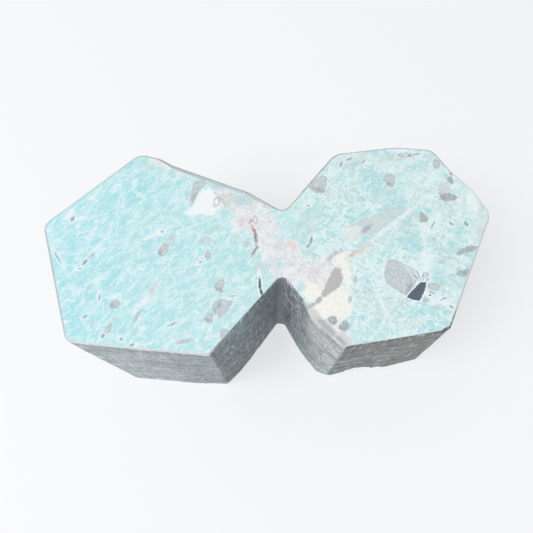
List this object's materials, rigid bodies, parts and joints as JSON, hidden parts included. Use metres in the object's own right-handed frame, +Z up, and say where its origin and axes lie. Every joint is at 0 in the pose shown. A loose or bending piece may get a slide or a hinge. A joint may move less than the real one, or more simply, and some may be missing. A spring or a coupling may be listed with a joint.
{
  "type": "semi-polished amazonite stone",
  "caption": "Bow-tie block of blue-green amazonite with a flat polished top, ground grey walls and a rough underside that rests on a flat spot.",
  "frame": {"origin": "middle of the stone's plan, on the surface it rests on", "axes": "+X along the length through both lobes, +Y away from the front notch towards the back, +Z up out of the polished face"},
  "size_m": [0.1614, 0.0812, 0.06],
  "materials": {
    "amazonite": "polished blue-green top face, ground matt grey walls"
  },
  "bodies": {
    "root": {"amazonite": "amazonite"}
  },
  "joints": []
}
